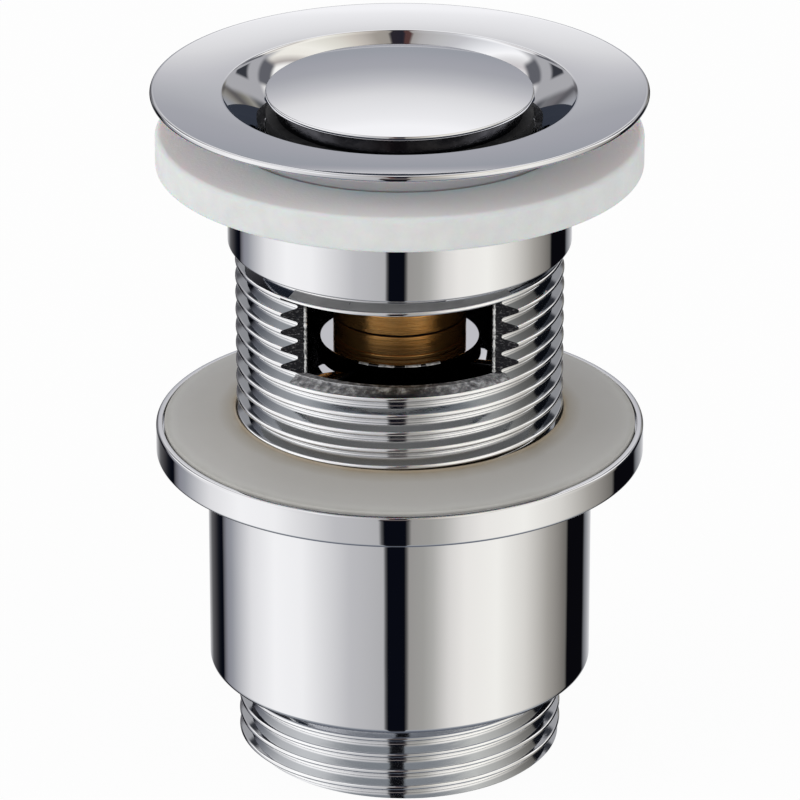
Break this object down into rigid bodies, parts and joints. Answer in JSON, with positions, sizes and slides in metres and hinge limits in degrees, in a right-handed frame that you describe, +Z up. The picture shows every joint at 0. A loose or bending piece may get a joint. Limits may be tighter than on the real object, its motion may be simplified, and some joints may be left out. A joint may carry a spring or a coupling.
{
  "type": "pop up basin waste",
  "caption": "Slotted click-action basin waste: domed plug in a dished flange, threaded tube with overflow slots, foam washer, clamp sleeve with gasket and threaded tail.",
  "frame": {"origin": "centre of the tail's lower end face, on the axis of the waste", "axes": "+Z up along the axis, from the tail to the plug; +X to the right and -Y towards the viewer, so that one overflow slot faces -Y and the other +Y"},
  "size_m": [0.0628, 0.0628, 0.0912],
  "materials": {
    "chrome": "mirror chrome plate on brass",
    "brass": "turned, unplated",
    "foam": "matt closed-cell foam, white",
    "gasket_rubber": "smooth milky grey rubber",
    "black_rubber": "matt black rubber",
    "plastic": "natural acetal",
    "steel": "bright spring steel"
  },
  "bodies": {
    "clamp_sleeve": {"clamp_sleeve": "chrome", "slip_ring": "plastic"},
    "gasket": {"clamp_gasket": "gasket_rubber"},
    "waste_body": {"waste_body": "chrome", "hub_washer": "brass", "hub_nut": "brass", "barrel_base": "brass", "barrel": "brass", "gland": "plastic", "gland_ring": "black_rubber", "retaining_clip": "steel", "return_spring": "steel"},
    "foam_washer": {"basin_seal": "foam"},
    "index_sleeve": {"index_sleeve": "plastic"},
    "plug": {"plunger": "brass", "index_balls": "steel", "plug_cap": "chrome", "plug_seal": "black_rubber", "seal_plate": "brass", "plug_nut": "brass"}
  },
  "joints": [
    {"name": "sleeve_turn", "type": "hinge", "parent": "clamp_sleeve", "child": "gasket", "pos_m": [0, 0, 0.0425], "axis": [0, 0, 1], "range_deg": [-1080, 1800]},
    {"name": "sleeve_travel", "type": "slide", "parent": "gasket", "child": "waste_body", "axis": [0, 0, 1], "range_m": [-0.00693, 0.01155]},
    {"name": "foam_washer_slide", "type": "slide", "parent": "waste_body", "child": "foam_washer", "axis": [0, 0, 1], "range_m": [-0.01, 0.0026]},
    {"name": "plug_lift", "type": "slide", "parent": "waste_body", "child": "plug", "axis": [0, 0, 1], "range_m": [0, 0.009], "deforming": ["return_spring"]},
    {"name": "index_turn", "type": "hinge", "parent": "waste_body", "child": "index_sleeve", "pos_m": [0, 0, 0.068], "axis": [0, 0, 1], "range_deg": [0, 46]}
  ],
  "couplings": [
    {"joint": "sleeve_travel", "follows": "sleeve_turn", "m_per_rad": 0.00036749},
    {"joint": "index_turn", "follows": "plug_lift", "rad_per_m": 87.266}
  ]
}
